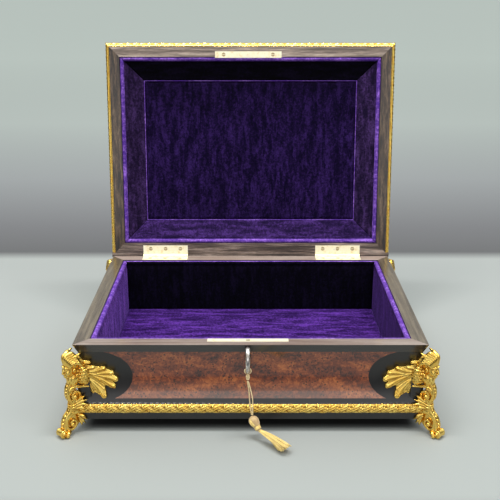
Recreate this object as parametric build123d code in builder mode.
from build123d import *

import os
from math import cos, degrees, pi, radians, sin, tan

os.makedirs("parts", exist_ok=True)

# A jewellery casket with a coved body, cast corner mounts, a hinged lid that stands open,
# a lock in the front wall and a key with a tassel. Millimetres, +Z up, front towards -Y.
# A wall's section is drawn in (u, z): u is the distance inward from the rim's outer edge.

# ---- driving dimensions ----------------------------------------------------------------
WIDTH = 315.0  # rim, left to right
DEPTH = 235.0  # rim, front to rear
RIM_Z = 86.0  # top of the rim above the table
BODY_Y = -20.0  # centre of the body, ahead of the origin because the open lid reaches back
FRONT = BODY_Y - DEPTH / 2
REAR = BODY_Y + DEPTH / 2
SPILL = 12.0  # how far the mitre planes reach beyond the rim

RIM_T = 13.15  # rim width
FASCIA_U, FASCIA_Z = 3.7, 77.5  # foot of the sloping rim edge
COVE_U, COVE_Z = 7.5, 54.0  # deepest point of the cove
COVE_FOOT_U, COVE_FOOT_Z = 3.5, 31.0
WALL_U, WALL_Z = 2.4, 28.0  # foot of the black line under the cove
MOULD_Z = 18.7  # foot of the cast base moulding
MOULD_T = 5.0
PLINTH_Z = 11.5  # underside of the plinth
PLINTH_U = 0.5
PLINTH_R = 1.5
VENEER = 0.8

BOARD_Z, BOARD_T = 15.0, 9.0  # bottom board
LINING_T = 4.4
LINING_TOP = 85.5
FLOOR_Z = BOARD_Z + BOARD_T
FLOOR_T = 5.0

# burl panel ends, as distances from the corner: top, waist and foot of a hollow curve
PANEL_TOP, PANEL_WAIST, PANEL_FOOT = 26.5, 50.9, 34.5

# hinges and lid; lid heights are measured from the hinge axis
HINGE_OUT = 1.3  # axis behind the rim's rear edge
HINGE_Y = REAR + HINGE_OUT
HINGE_Z = RIM_Z + 0.15
LID_OPEN = 97.6  # degrees
LID_GAP = 0.15
LID_INSET = 2.34  # lid edge inside the rim edge
LID_RAIL = 11.0
LID_RAIL_H = 12.0
COVE_IN_U = 24.0
BOARD_LOW, BOARD_HIGH = 21.0, 29.0  # lid top board
LID_TOP = 30.5
STRIP_OUT = -2.0  # the lid's cast strip stands out past the rim
STRIP_H = 6.8
STRIP_REAR_LOW = 2.9
SLOPE_U, SLOPE_Z = 39.0, 9.0  # where the sloped lid lining meets its panel
PIPING_U = 18.4

HINGE_X = (-97.5, 100.0)
HINGE_L = 51.0
LEAF_T = 1.6
BASE_LEAF_W = 13.6
LID_LEAF_W = 12.0
KNUCKLE_R = 2.0
KNUCKLE_GAP = 0.2
PIN_R = 0.9
BORE_R = 0.95
SCREW_LINE = 8.0
SCREW_PITCH = 17.0
HEAD_R, SHANK_R, HEAD_H, SCREW_L = 2.1, 0.9, 1.1, 8.0

# lock and key
LOCK_X = -2.4
LOCK_U = 10.2  # middle of the bolt, the slot and the hook
PLATE_L, PLATE_W = 72.5, 6.1
SLOT_L, SLOT_W = 4.4, 2.6
CASE_L, CASE_LOW, CASE_U = 56.0, 69.0, 7.2
CASE_WALL = 1.0
KEY_Z = 76.0
KEY_R = 1.8
KEYHOLE_R = 2.1
BIT_R, BIT_W = 4.6, 1.6
BOW_A, BOW_B, BOW_R = 6.85, 10.15, 2.15  # half axes of the bow's centre line, and its wire
BOW_Y = FRONT - 10.5
BOLT_T = 2.0
BOLT_THROW = 4.0
STRIKER_L, STRIKER_U, STRIKER_W = 73.0, 7.4, 7.0
STRIKER_T = 1.3
STRIKER_SCREW = 27.0

# corner mounts: s is the distance outward along the diagonal from the rim corner
KEEL_W = 12.0
HEAD_S, HEAD_LOW, HEAD_TOP = 1.5, 61.0, 83.0
CROWN_R = 7.2
FOOT_S = 18.0
LEAF_PROUD = 3.2

CORD_D = 1.1
KNOT_Z = 59.5

LID = Plane(
    origin=(0, HINGE_Y, HINGE_Z),
    x_dir=(1, 0, 0),
    z_dir=(0, sin(radians(LID_OPEN)), cos(radians(LID_OPEN))),
)
# each side: along the wall, inward, half the wall's length, outer edge from the centre
SIDES = {
    "front": ((1, 0), (0, 1), WIDTH / 2, DEPTH / 2),
    "rear": ((-1, 0), (0, -1), WIDTH / 2, DEPTH / 2),
    "left": ((0, -1), (1, 0), DEPTH / 2, WIDTH / 2),
    "right": ((0, 1), (-1, 0), DEPTH / 2, WIDTH / 2),
}


def body_frame(plane):
    """A plane of the body: it stays where it is drawn, about the body's centre."""
    return Plane(Location((0, BODY_Y, 0)) * plane.location)


def lid_frame(plane):
    """The same plane on the lid, whose heights count from the hinge axis."""
    return Plane(LID.location * Location((0, -HINGE_OUT - DEPTH / 2, 0)) * plane.location)


def section_plane(side, frame):
    """Local x is inward from the rim's edge and local y is up."""
    along, inward, _, edge = SIDES[side]
    start = (-inward[0] * edge, -inward[1] * edge, 0)
    return frame(Plane(origin=start, x_dir=(*inward, 0), z_dir=(*along, 0)))


def plan_plane(side, frame, height=0):
    """Local x is along the wall and local y is inward."""
    along, inward, _, edge = SIDES[side]
    start = (-inward[0] * edge, -inward[1] * edge, height)
    return frame(Plane(origin=start, x_dir=(*along, 0), z_dir=(0, 0, 1)))


def face_plane(side, frame):
    """Local x is along the wall and local y is up, seen from outside."""
    along, inward, _, edge = SIDES[side]
    start = (-inward[0] * edge, -inward[1] * edge, 0)
    return frame(Plane(origin=start, x_dir=(*along, 0), z_dir=(-inward[0], -inward[1], 0)))


def mitred(side, outline, frame=body_frame):
    """One member of a four-sided frame: a section run along its side and mitred."""
    half = SIDES[side][2]
    with BuildPart() as member:
        with BuildSketch(section_plane(side, frame)):
            with BuildLine():
                outline()
            make_face()
        extrude(amount=half + SPILL, both=True)
        with BuildSketch(plan_plane(side, frame)):
            Polygon(
                (-half - SPILL, -SPILL),
                (half + SPILL, -SPILL),
                (half - DEPTH / 2, DEPTH / 2),
                (-half + DEPTH / 2, DEPTH / 2),
                align=None,
            )
        extrude(amount=2 * RIM_Z, both=True, mode=Mode.INTERSECT)
    return member.part


def save(part, name):
    part.label = name
    export_step(part, f"parts/{name}.step")


def block(plane, low, high):
    """A private box between two corners in a plane's own axes, for cutting."""
    size = [b - a for a, b in zip(low, high)]
    middle = [(a + b) / 2 for a, b in zip(low, high)]
    return plane.location * Pos(*middle) * Box(*size, mode=Mode.PRIVATE)


# ---- sections --------------------------------------------------------------------------
def rim_section():
    Polyline((0, RIM_Z), (RIM_T, RIM_Z), (RIM_T, FASCIA_Z), (FASCIA_U, FASCIA_Z), close=True)


def cove_line(inset=0.0):
    ThreePointArc(
        (FASCIA_U + inset, FASCIA_Z),
        (COVE_U + inset, COVE_Z),
        (COVE_FOOT_U + inset, COVE_FOOT_Z),
    )


def wall_section():
    cove_line()
    Polyline(
        (COVE_FOOT_U, COVE_FOOT_Z),
        (WALL_U, WALL_Z),
        (RIM_T, WALL_Z),
        (RIM_T, FASCIA_Z),
        (FASCIA_U, FASCIA_Z),
    )


def veneer_section():
    cove_line()
    cove_line(VENEER)
    Line((FASCIA_U, FASCIA_Z), (FASCIA_U + VENEER, FASCIA_Z))
    Line((COVE_FOOT_U, COVE_FOOT_Z), (COVE_FOOT_U + VENEER, COVE_FOOT_Z))


def plinth_section():
    Polyline(
        (PLINTH_U + PLINTH_R, MOULD_Z),
        (MOULD_T, MOULD_Z),
        (MOULD_T, WALL_Z),
        (RIM_T, WALL_Z),
        (RIM_T, PLINTH_Z),
        (PLINTH_U, PLINTH_Z),
        (PLINTH_U, MOULD_Z - PLINTH_R),
    )
    RadiusArc((PLINTH_U, MOULD_Z - PLINTH_R), (PLINTH_U + PLINTH_R, MOULD_Z), PLINTH_R)


def moulding_section():
    middle = (WALL_Z + MOULD_Z) / 2
    ThreePointArc((WALL_U, WALL_Z), (0, middle), (WALL_U, MOULD_Z))
    Polyline((WALL_U, MOULD_Z), (MOULD_T, MOULD_Z), (MOULD_T, WALL_Z), (WALL_U, WALL_Z))


def lining_section():
    inner = RIM_T + LINING_T
    Polyline((RIM_T, LINING_TOP - 1), (RIM_T, FLOOR_Z), (inner, FLOOR_Z), (inner, LINING_TOP - 1))
    ThreePointArc(
        (RIM_T, LINING_TOP - 1), (RIM_T + LINING_T / 2, LINING_TOP), (inner, LINING_TOP - 1)
    )


def silhouette_section():
    """Everything behind the mounts, as one outline."""
    cove_line()
    Line((COVE_FOOT_U, COVE_FOOT_Z), (WALL_U, WALL_Z))
    ThreePointArc((WALL_U, WALL_Z), (0, (WALL_Z + MOULD_Z) / 2), (WALL_U, MOULD_Z))
    Line((WALL_U, MOULD_Z), (PLINTH_U + PLINTH_R, MOULD_Z))
    RadiusArc((PLINTH_U, MOULD_Z - PLINTH_R), (PLINTH_U + PLINTH_R, MOULD_Z), PLINTH_R)
    Polyline(
        (PLINTH_U, MOULD_Z - PLINTH_R),
        (PLINTH_U, PLINTH_Z),
        (COVE_IN_U, PLINTH_Z),
        (COVE_IN_U, RIM_Z),
        (0, RIM_Z),
        (FASCIA_U, FASCIA_Z),
    )


def leaf_band_section():
    """The thickness of a leaf that lies on the cove."""
    ThreePointArc(
        (FASCIA_U - LEAF_PROUD, FASCIA_Z),
        (COVE_U - LEAF_PROUD, COVE_Z),
        (COVE_FOOT_U - LEAF_PROUD, COVE_FOOT_Z),
    )
    Polyline(
        (COVE_FOOT_U - LEAF_PROUD, COVE_FOOT_Z),
        (RIM_T, COVE_FOOT_Z),
        (RIM_T, FASCIA_Z),
        (FASCIA_U - LEAF_PROUD, FASCIA_Z),
    )


def lid_rail_section():
    inner = LID_INSET + LID_RAIL
    Polyline(
        (LID_INSET, LID_GAP),
        (inner, LID_GAP),
        (inner, LID_RAIL_H),
        (LID_INSET, LID_RAIL_H),
        close=True,
    )


def lid_cove_section():
    lip_u, lip_z = 5.0, 14.5  # where the rail's rounded shoulder meets the cove
    hollow_u, hollow_z = 15.8, 19.6  # deepest point of the cove
    ThreePointArc((lip_u, lip_z), (hollow_u, hollow_z), (COVE_IN_U, BOARD_HIGH))
    Polyline(
        (COVE_IN_U, BOARD_HIGH),
        (COVE_IN_U, BOARD_LOW),
        (LID_INSET + LID_RAIL, LID_RAIL_H),
        (LID_INSET, LID_RAIL_H),
        (LID_INSET, lip_z - 1),
        (lip_u, lip_z),
    )


def lid_lining_section():
    edge = LID_INSET + LID_RAIL
    ThreePointArc((edge, 1.0), ((edge + PIPING_U) / 2, 0.5), (PIPING_U, 1.8))
    Polyline(
        (PIPING_U, 1.8),
        (SLOPE_U, SLOPE_Z),
        (SLOPE_U, BOARD_LOW),
        (COVE_IN_U, BOARD_LOW),
        (edge, LID_RAIL_H),
        (edge, 1.0),
    )


def strip_section(low):
    middle = (low + STRIP_H) / 2
    ThreePointArc((STRIP_OUT + 1, low), (STRIP_OUT, middle), (STRIP_OUT + 1, STRIP_H))
    Polyline(
        (STRIP_OUT + 1, STRIP_H), (LID_INSET, STRIP_H), (LID_INSET, low), (STRIP_OUT + 1, low)
    )


# ---- screws, made before the wood and the plates that they go through --------------------
def screws(plane, spots):
    """Countersunk slotted screws whose heads lie flush in a plane, driven along its -z."""
    with BuildPart() as group:
        for x, y in spots:
            centre = Plane(plane.location * Location((x, y, 0)))
            with BuildSketch(Plane(centre.location * Plane.XZ.location)):
                Polygon(
                    (0, 0),
                    (HEAD_R, 0),
                    (SHANK_R, -HEAD_H),
                    (SHANK_R, 2 - SCREW_L),
                    (0.1, -SCREW_L),
                    (0, -SCREW_L),
                    align=None,
                )
            revolve(axis=Axis(centre.origin, centre.z_dir))
            with Locations(centre):
                Box(2 * HEAD_R, 0.5, 0.8, mode=Mode.SUBTRACT)
    return group.part


RIM_TOP = Plane(origin=(0, HINGE_Y, RIM_Z))
LID_UNDER = Plane(LID.location * Location((0, 0, LID_GAP), (180, 0, 0)))  # faces out of the lid
STRIKER_Y = HINGE_OUT + DEPTH - STRIKER_U - STRIKER_W / 2
hinge_spots = [(x + i * SCREW_PITCH, -SCREW_LINE) for x in HINGE_X for i in (-1, 0, 1)]
lid_spots = [(x, -y) for x, y in hinge_spots]
striker_spots = [(LOCK_X + i * STRIKER_SCREW, STRIKER_Y) for i in (-1, 1)]

hinge_base_screws = screws(RIM_TOP, hinge_spots)
hinge_lid_screws = screws(LID_UNDER, lid_spots)
striker_screws = screws(LID_UNDER, striker_spots)
save(hinge_base_screws, "hinge_base_screws")
save(hinge_lid_screws, "hinge_lid_screws")
save(striker_screws, "striker_screws")

# ---- what is cut out of the wood ---------------------------------------------------------
FRONT_TOP = plan_plane("front", body_frame)  # x along, y inward from the rim's front edge
case_pocket = block(
    FRONT_TOP,
    (LOCK_X - CASE_L / 2, CASE_U, CASE_LOW),
    (LOCK_X + CASE_L / 2, RIM_T, RIM_Z - LEAF_T),
)
plate_pocket = block(
    FRONT_TOP,
    (LOCK_X - PLATE_L / 2, RIM_T - PLATE_W, RIM_Z - LEAF_T),
    (LOCK_X + PLATE_L / 2, RIM_T, RIM_Z),
)
with BuildPart() as keyhole:
    with BuildSketch(Plane.XZ.offset(-FRONT + SPILL)):
        with Locations((LOCK_X, KEY_Z)):
            Circle(KEYHOLE_R)
        with Locations((LOCK_X, KEY_Z - BIT_R / 2 - 0.2)):
            Rectangle(BIT_W + 0.6, BIT_R + 0.4)
    extrude(amount=-SPILL - CASE_U - CASE_WALL)

leaf_pockets = [
    block(RIM_TOP, (x - HINGE_L / 2, -BASE_LEAF_W, -LEAF_T), (x + HINGE_L / 2, 0, 1))
    for x in HINGE_X
]
lid_leaf_pockets = [
    block(LID, (x - HINGE_L / 2, -LID_LEAF_W, 0), (x + HINGE_L / 2, 0, LID_GAP + LEAF_T))
    for x in HINGE_X
]
with BuildPart() as knuckle_clearance:
    for x in HINGE_X:
        with BuildSketch(Plane.YZ.offset(x)):
            with Locations((HINGE_Y, HINGE_Z)):
                Circle(KNUCKLE_R + KNUCKLE_GAP)
        extrude(amount=HINGE_L / 2, both=True)
striker_pocket = block(
    LID_UNDER,
    (LOCK_X - STRIKER_L / 2, STRIKER_Y - STRIKER_W / 2, -STRIKER_T),
    (LOCK_X + STRIKER_L / 2, STRIKER_Y + STRIKER_W / 2, 1),
)

# ---- body: walls, burl panels, rims, plinth, mouldings, linings ----------------------------
for side in SIDES:
    half = SIDES[side][2]

    veneer = mitred(side, veneer_section)
    with BuildPart() as burl_panel:
        add(veneer)
        with BuildSketch(face_plane(side, body_frame)):
            with BuildLine():
                top, waist, foot = half - PANEL_TOP, half - PANEL_WAIST, half - PANEL_FOOT
                pull = (8 * waist - top - foot) / 6  # draws the end's middle in to the waist
                Line((-top, FASCIA_Z), (top, FASCIA_Z))
                Bezier((top, FASCIA_Z), (pull, COVE_Z + 14), (pull, COVE_Z - 14), (foot, COVE_FOOT_Z))
                Line((foot, COVE_FOOT_Z), (-foot, COVE_FOOT_Z))
                Bezier(
                    (-foot, COVE_FOOT_Z), (-pull, COVE_Z - 14), (-pull, COVE_Z + 14), (-top, FASCIA_Z)
                )
            make_face()
        extrude(amount=-RIM_T, mode=Mode.INTERSECT)
        if side == "front":
            add(keyhole.part, mode=Mode.SUBTRACT)
    save(burl_panel.part, f"{side}_burl_panel")

    with BuildPart() as wall:
        add(mitred(side, wall_section))
        add(burl_panel.part, mode=Mode.SUBTRACT)
        if side == "front":
            add(case_pocket, mode=Mode.SUBTRACT)
            add(keyhole.part, mode=Mode.SUBTRACT)
    save(wall.part, f"{side}_wall")

    with BuildPart() as rim_rail:
        add(mitred(side, rim_section))
        if side == "front":
            add([case_pocket, plate_pocket, keyhole.part], mode=Mode.SUBTRACT)
        if side == "rear":
            add(leaf_pockets, mode=Mode.SUBTRACT)
            add([knuckle_clearance.part, hinge_base_screws], mode=Mode.SUBTRACT)
    save(rim_rail.part, f"{side}_rim_rail")

    save(mitred(side, moulding_section), f"{side}_base_moulding")
    save(mitred(side, lining_section), f"{side}_lining")

save(Compound(children=[mitred(side, plinth_section) for side in SIDES]), "plinth_rails")

inside_x, inside_y = WIDTH - 2 * RIM_T, DEPTH - 2 * RIM_T
with BuildPart() as bottom_board:
    with BuildSketch(Plane((0, BODY_Y, BOARD_Z))):
        Rectangle(inside_x, inside_y)
    extrude(amount=BOARD_T)
save(bottom_board.part, "bottom_board")

with BuildPart() as floor_lining:
    with BuildSketch(Plane((0, BODY_Y, FLOOR_Z))):
        Rectangle(inside_x - 2 * LINING_T, inside_y - 2 * LINING_T)
    extrude(amount=FLOOR_T)
    fillet(floor_lining.edges().group_by(Axis.Z)[-1], radius=1.5)
save(floor_lining.part, "floor_lining")

# ---- corner mounts ---------------------------------------------------------------------
CORNER = Vector(WIDTH / 2, FRONT, 0)
DIAGONAL = Plane(origin=CORNER, x_dir=(1, -1, 0), z_dir=(-1, -1, 0))

with BuildPart() as corner_form:
    add(mitred("front", silhouette_section))
    add(mitred("right", silhouette_section))

# a leaf on one face, in distances from the corner and heights
LEAF = [
    (-6, 74), (5, 76), (11.5, 75), (16, 67), (24, 65), (30, 61), (37.5, 57),
    (36, 46), (29, 44), (26, 34), (20, 39), (14, 43), (-6, 47),
]
with BuildPart() as wing:
    with BuildSketch(face_plane("front", body_frame)):
        Polygon(*[(WIDTH / 2 - a, z) for a, z in LEAF], align=None)
    extrude(amount=SPILL, both=True)
    add(mitred("front", leaf_band_section), mode=Mode.INTERSECT)
MIRROR = Plane(origin=CORNER, z_dir=(1, 1, 0))  # swaps the two faces of the corner

with BuildPart() as corner_mount:
    add(wing.part)
    mirror(wing.part, about=MIRROR)
    # the head, standing on the corner
    with BuildSketch(Plane(CORNER + DIAGONAL.x_dir * HEAD_S).offset(HEAD_LOW)):
        Circle(CROWN_R)
    extrude(amount=HEAD_TOP - HEAD_LOW, taper=-2)
    # breast and upper scroll
    with BuildSketch(DIAGONAL):
        with BuildLine():
            Polyline((-14, 66), (2, 66), (5, 58), (9.5, 50))
            ThreePointArc((9.5, 50), (12.5, 39), (9, 28))
            Polyline((9, 28), (3, 28))
            ThreePointArc((3, 28), (-1.5, 34), (3, 41))
            Polyline((3, 41), (2, 47), (-4, 50), (-14, 50), (-14, 66))
        make_face()
    extrude(amount=KEEL_W / 2, both=True)
    # lower scroll and toe
    with BuildSketch(DIAGONAL):
        with BuildLine():
            Polyline((2, 29), (9, 29))
            ThreePointArc((9, 29), (15.5, 18), (14.5, 7))
            Polyline((14.5, 7), (FOOT_S, 5), (FOOT_S, 0), (8, 0), (5, 3))
            ThreePointArc((5, 3), (-3, 13), (2, 29))
        make_face()
    extrude(amount=KEEL_W / 2, both=True)
    for s, z, radius in ((5.5, 34.5, 6.5), (7.5, 12.5, 8.5)):
        with BuildSketch(DIAGONAL):
            with Locations((s, z)):
                Circle(radius)
        extrude(amount=KEEL_W / 2 + 1.5, both=True)
    add(corner_form.part, mode=Mode.SUBTRACT)

ACROSS = Plane.YZ
ALONG = Plane.XZ.offset(-BODY_Y)
with BuildPart() as front_left:
    mirror(corner_mount.part, about=ACROSS)
with BuildPart() as rear_right:
    mirror(corner_mount.part, about=ALONG)
with BuildPart() as rear_left:
    mirror(front_left.part, about=ALONG)
save(corner_mount.part, "front_right_corner_mount")
save(front_left.part, "front_left_corner_mount")
save(rear_right.part, "rear_right_corner_mount")
save(rear_left.part, "rear_left_corner_mount")

# ---- hinges: three base knuckles and two lid knuckles on one pin -----------------------
STATIONS = 5
STATION_L = HINGE_L / STATIONS


def knuckles(x, numbers):
    """Bored barrels at some of a hinge's stations, without their leaf."""
    with BuildPart() as barrels:
        for i in numbers:
            left = x - HINGE_L / 2 + i * STATION_L + KNUCKLE_GAP / 2
            with BuildSketch(Plane.YZ.offset(left)):
                with Locations((HINGE_Y, HINGE_Z)):
                    Circle(KNUCKLE_R)
            extrude(amount=STATION_L - KNUCKLE_GAP)
    return barrels.part


def bridges(plane, x, numbers, low):
    """The strips of leaf that carry the barrels."""
    reach = KNUCKLE_R + 2 * KNUCKLE_GAP
    lefts = [x - HINGE_L / 2 + i * STATION_L + KNUCKLE_GAP / 2 for i in numbers]
    wide = STATION_L - KNUCKLE_GAP
    return [block(plane, (a, -reach, low), (a + wide, 0, low + LEAF_T)) for a in lefts]


for name, x in zip(("left", "right"), HINGE_X):
    with BuildSketch(Plane.YZ.offset(x)) as bore:
        with Locations((HINGE_Y, HINGE_Z)):
            Circle(BORE_R)
    bore_tool = extrude(bore.sketch, amount=HINGE_L / 2, both=True)
    clearance = Pos(x, HINGE_Y, HINGE_Z) * Rot(0, 90, 0) * Cylinder(
        KNUCKLE_R + KNUCKLE_GAP, HINGE_L
    )
    base_plate = block(
        RIM_TOP, (x - HINGE_L / 2, -BASE_LEAF_W, -LEAF_T), (x + HINGE_L / 2, 0, 0)
    )
    lid_plate = block(
        LID, (x - HINGE_L / 2, -LID_LEAF_W, LID_GAP), (x + HINGE_L / 2, 0, LID_GAP + LEAF_T)
    )

    with BuildPart() as base_leaf:
        add(base_plate)
        add([clearance, hinge_base_screws], mode=Mode.SUBTRACT)
        add(bridges(RIM_TOP, x, (0, 2, 4), -LEAF_T))
        add(knuckles(x, (0, 2, 4)))
        add(bore_tool, mode=Mode.SUBTRACT)
    save(base_leaf.part, f"{name}_hinge_base_leaf")

    with BuildPart() as lid_leaf:
        add(lid_plate)
        add([clearance, hinge_lid_screws], mode=Mode.SUBTRACT)
        add(bridges(LID, x, (1, 3), LID_GAP))
        add(knuckles(x, (1, 3)))
        add(bore_tool, mode=Mode.SUBTRACT)
    save(lid_leaf.part, f"{name}_hinge_lid_leaf")

with BuildPart() as hinge_pins:
    for x in HINGE_X:
        with BuildSketch(Plane.YZ.offset(x)):
            with Locations((HINGE_Y, HINGE_Z)):
                Circle(PIN_R)
        extrude(amount=HINGE_L / 2, both=True)
save(hinge_pins.part, "hinge_pins")

# ---- lock --------------------------------------------------------------------------------
with BuildPart() as lock_case:
    add(case_pocket)
    add(
        block(
            FRONT_TOP,
            (LOCK_X - CASE_L / 2 + CASE_WALL, CASE_U + CASE_WALL, CASE_LOW + CASE_WALL),
            (LOCK_X + CASE_L / 2 - CASE_WALL, RIM_T - CASE_WALL, RIM_Z),
        ),
        mode=Mode.SUBTRACT,
    )
    add(keyhole.part, mode=Mode.SUBTRACT)
save(lock_case.part, "lock_case")

with BuildPart() as lock_plate:
    add(plate_pocket)
    with BuildSketch(Plane((0, 0, RIM_Z))):
        with Locations((LOCK_X, FRONT + LOCK_U)):
            SlotOverall(SLOT_L, SLOT_W)
    extrude(amount=-LEAF_T, mode=Mode.SUBTRACT)
save(lock_plate.part, "lock_plate")

# the bolt slides towards -X: its nose passes over the hook's foot, and the key's bit pushes
# its tail. Along the bolt, distances count from the middle of the lock.
NOSE_LOW, NOSE_HIGH, FOOT_HIGH = 81.6, 83.8, 81.2
HOOK_LOW = 79.8
BAR_LOW = 78.4
WINDOW_Z = HOOK_LOW - 0.4
TAIL_Z = 72.2
BOLT_LEFT, BOLT_RIGHT = -12.0, 22.0
WINDOW_LEFT, WINDOW_RIGHT = -6.5, 8.0
NOSE_TIP = BOLT_THROW + 0.2
TAIL_LEFT, TAIL_RIGHT = -3.7, -2.2
with BuildPart() as lock_bolt:
    with BuildSketch(Plane.XZ.offset(-(FRONT + LOCK_U) + BOLT_T / 2)):
        with BuildLine():
            outline = [
                (BOLT_LEFT, NOSE_HIGH),
                (WINDOW_LEFT, NOSE_HIGH),
                (WINDOW_LEFT, WINDOW_Z),
                (WINDOW_RIGHT, WINDOW_Z),
                (WINDOW_RIGHT, NOSE_LOW),
                (NOSE_TIP, NOSE_LOW),
                (NOSE_TIP, NOSE_HIGH),
                (BOLT_RIGHT, NOSE_HIGH),
                (BOLT_RIGHT, BAR_LOW),
                (TAIL_RIGHT, BAR_LOW),
                (TAIL_RIGHT, TAIL_Z),
                (TAIL_LEFT, TAIL_Z),
                (TAIL_LEFT, BAR_LOW),
                (BOLT_LEFT, BAR_LOW),
            ]
            Polyline(*[(LOCK_X + x, z) for x, z in outline], close=True)
        make_face()
    extrude(amount=-BOLT_T)
save(lock_bolt.part, "lock_bolt")

# ---- key, with the knot of its cord --------------------------------------------------------
with BuildPart() as key:
    with BuildSketch(Plane.YZ.offset(LOCK_X)):
        with Locations((BOW_Y, KEY_Z)):
            Ellipse(BOW_A + BOW_R, BOW_B + BOW_R)
            Ellipse(BOW_A - BOW_R, BOW_B - BOW_R, mode=Mode.SUBTRACT)
    extrude(amount=BOW_R, both=True)
    fillet(key.edges(), radius=BOW_R * 0.9)
    with BuildSketch(Plane.XZ.offset(-(BOW_Y + BOW_A))):
        with Locations((LOCK_X, KEY_Z)):
            Circle(KEY_R)
    extrude(amount=-(FRONT + RIM_T - CASE_WALL - 0.5 - BOW_Y - BOW_A))
    with BuildSketch(Plane.XZ.offset(-(BOW_Y + BOW_A + BOW_R - 0.6))):
        with Locations((LOCK_X, KEY_Z)):
            Circle(KEY_R + 1)
    extrude(amount=-2)
    with BuildSketch(Plane.XZ.offset(-(FRONT + LOCK_U) + BOLT_T / 2)):
        with Locations((LOCK_X, KEY_Z - BIT_R / 2)):
            Rectangle(BIT_W, BIT_R)
    extrude(amount=-BOLT_T)
save(key.part, "key")

with BuildPart() as cord_knot:
    with BuildSketch(Plane((LOCK_X, BOW_Y, 0), x_dir=(1, 0, 0), z_dir=(0, -1, 0))):
        with BuildLine():
            ThreePointArc((0, KNOT_Z - 3.3), (1.9, KNOT_Z), (0, KNOT_Z + 3.3))
            Line((0, KNOT_Z + 3.3), (0, KNOT_Z - 3.3))
        make_face()
    revolve(axis=Axis((LOCK_X, BOW_Y, 0), (0, 0, 1)))
    loop_r = BOW_R + CORD_D / 2 + 0.1
    with Locations(Plane((LOCK_X, BOW_Y, KEY_Z - BOW_B), x_dir=(1, 0, 0), z_dir=(0, 1, 0))):
        Torus(loop_r, CORD_D / 2)
save(cord_knot.part, "cord_knot")

# ---- the hanging cords and the tassel -------------------------------------------------------
STRANDS = {
    "left": [
        (-3.2, BOW_Y, 55.9),
        (-1.6, BOW_Y + 0.4, 48.0),
        (-1.1, BOW_Y + 0.3, 39.5),
        (-0.5, BOW_Y + 0.6, 31.0),
        (0.9, BOW_Y + 0.2, 22.0),
    ],
    "right": [
        (-1.9, BOW_Y, 55.9),
        (0.5, BOW_Y - 0.2, 48.5),
        (1.9, BOW_Y - 0.4, 39.0),
        (1.8, BOW_Y - 0.2, 30.5),
        (2.2, BOW_Y, 22.0),
    ],
}


def cord_route(points):
    """Straight runs joined by tangent arcs, each arc as large as its two runs allow."""
    points = [Vector(*p) for p in points]
    last = points[0]
    for before, at, after in zip(points, points[1:], points[2:]):
        into, out = (at - before).normalized(), (after - at).normalized()
        turn = radians(into.get_angle(out))
        run = 0.45 * min((at - before).length, (after - at).length)
        start, end = at - into * run, at + out * run
        Line(last, start)
        radius = run / tan(turn / 2)
        inward = (out - into).normalized()
        middle = at + inward * radius * (1 / cos(turn / 2) - 1)
        ThreePointArc(start, middle, end)
        print("arc radius", round(radius, 1), "turn", round(degrees(turn), 1))
        last = end
    Line(last, points[-1])


for name, points in STRANDS.items():
    with BuildPart() as strand:
        with BuildLine() as route:
            cord_route(points)
        path = route.wires()[0]
        with BuildSketch(Plane(origin=path @ 0, z_dir=path % 0)):
            Circle(CORD_D / 2)
        sweep()
    ideal = pi * (CORD_D / 2) ** 2 * path.length
    print(name, "length", path.length, "volume", strand.part.volume, "of", ideal)
    save(strand.part, f"key_cord_{name}")

HEAD = Vector(3.0, BOW_Y - 1.0, 16.5)
NECK = Vector(8.0, BOW_Y - 6.0, 9.0)
SKIRT_END = Vector(30.5, FRONT - 38.0, 4.4)
TASSEL_CONES = ((HEAD, NECK, 3.8, 2.6, 0), (NECK, SKIRT_END, 2.6, 4.0, 1.0))
with BuildPart() as tassel:
    with Locations(Plane(origin=HEAD, z_dir=NECK - HEAD)):
        Sphere(5.0)
    for start, end, near_r, far_r, lap in TASSEL_CONES:
        run = end - start
        with Locations(Plane(origin=start - run.normalized() * lap, z_dir=run)):
            on_base = (Align.CENTER, Align.CENTER, Align.MIN)
            Cone(near_r, far_r, run.length + lap, align=on_base)
save(tassel.part, "tassel")

# ---- lid, drawn closed in its own plane ---------------------------------------------------
hook_x = (LOCK_X - 1.4, LOCK_X - 0.1, LOCK_X + 1.4)
with BuildPart() as striker_plate:
    add(striker_pocket)
    add(
        block(
            LID_UNDER,
            (-WIDTH, -DEPTH * 2, 0),
            (WIDTH, DEPTH * 2, RIM_Z),
        ),
        mode=Mode.SUBTRACT,
    )
    hook_y = HINGE_OUT + DEPTH - LOCK_U
    drop = HINGE_Z + LID_GAP - HOOK_LOW
    foot = HINGE_Z + LID_GAP - FOOT_HIGH
    add(block(LID_UNDER, (hook_x[0], hook_y - 0.8, 0), (hook_x[1], hook_y + 0.8, drop)))
    add(block(LID_UNDER, (hook_x[0], hook_y - 0.8, foot), (hook_x[2], hook_y + 0.8, drop)))
    add(striker_screws, mode=Mode.SUBTRACT)
save(striker_plate.part, "striker_plate")

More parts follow.
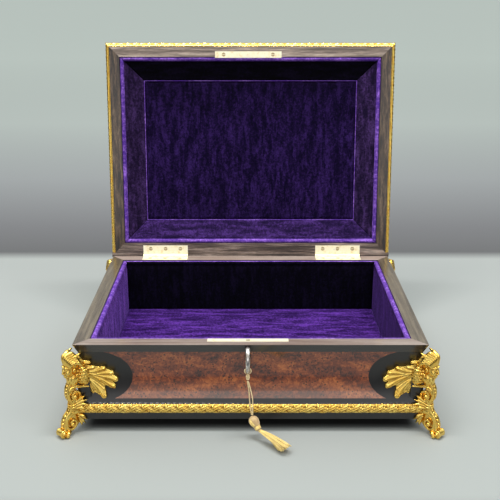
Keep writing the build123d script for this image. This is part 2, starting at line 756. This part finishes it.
for side in SIDES:
    with BuildPart() as lid_rail:
        add(mitred(side, lid_rail_section, lid_frame))
        if side == "rear":
            add(lid_leaf_pockets, mode=Mode.SUBTRACT)
            add([knuckle_clearance.part, hinge_lid_screws], mode=Mode.SUBTRACT)
        if side == "front":
            add([striker_pocket, striker_screws], mode=Mode.SUBTRACT)
    save(lid_rail.part, f"lid_{side}_rail")
    save(mitred(side, lid_cove_section, lid_frame), f"lid_{side}_cove")

lid_sides = []
for side in SIDES:
    with BuildPart() as slope:
        add(mitred(side, lid_lining_section, lid_frame))
        if side == "front":
            add([striker_pocket, striker_screws], mode=Mode.SUBTRACT)
    lid_sides.append(slope.part)
save(Compound(children=lid_sides), "lid_side_lining")


def lid_level(height):
    return lid_frame(Plane.XY.offset(height))


with BuildPart() as lid_lining_panel:
    with BuildSketch(lid_level(SLOPE_Z)):
        Rectangle(WIDTH - 2 * SLOPE_U, DEPTH - 2 * SLOPE_U)
    extrude(amount=BOARD_LOW - SLOPE_Z)
save(lid_lining_panel.part, "lid_lining_panel")

FIELD_INSET, STRING_W = 14.0, 1.4
field_x, field_y = (size - 2 * (COVE_IN_U + FIELD_INSET) for size in (WIDTH, DEPTH))
with BuildPart() as lid_burl_panel:
    with BuildSketch(lid_level(LID_TOP - VENEER)):
        RectangleRounded(field_x, field_y, 12)
    extrude(amount=VENEER)
save(lid_burl_panel.part, "lid_burl_panel")

with BuildPart() as lid_stringing:
    with BuildSketch(lid_level(LID_TOP - VENEER)):
        RectangleRounded(field_x + 2 * STRING_W, field_y + 2 * STRING_W, 12 + STRING_W)
        RectangleRounded(field_x, field_y, 12, mode=Mode.SUBTRACT)
    extrude(amount=VENEER)
save(lid_stringing.part, "lid_stringing")

with BuildPart() as lid_top_board:
    with BuildSketch(lid_level(BOARD_LOW)):
        Rectangle(WIDTH - 2 * COVE_IN_U, DEPTH - 2 * COVE_IN_U)
    extrude(amount=LID_TOP - BOARD_LOW)
    add([lid_burl_panel.part, lid_stringing.part], mode=Mode.SUBTRACT)
save(lid_top_board.part, "lid_top_board")

strips = [
    mitred(side, lambda low=low: strip_section(low), lid_frame)
    for side, low in zip(SIDES, (LID_GAP, STRIP_REAR_LOW, LID_GAP, LID_GAP))
]
save(Compound(children=strips), "lid_edge_moulding")
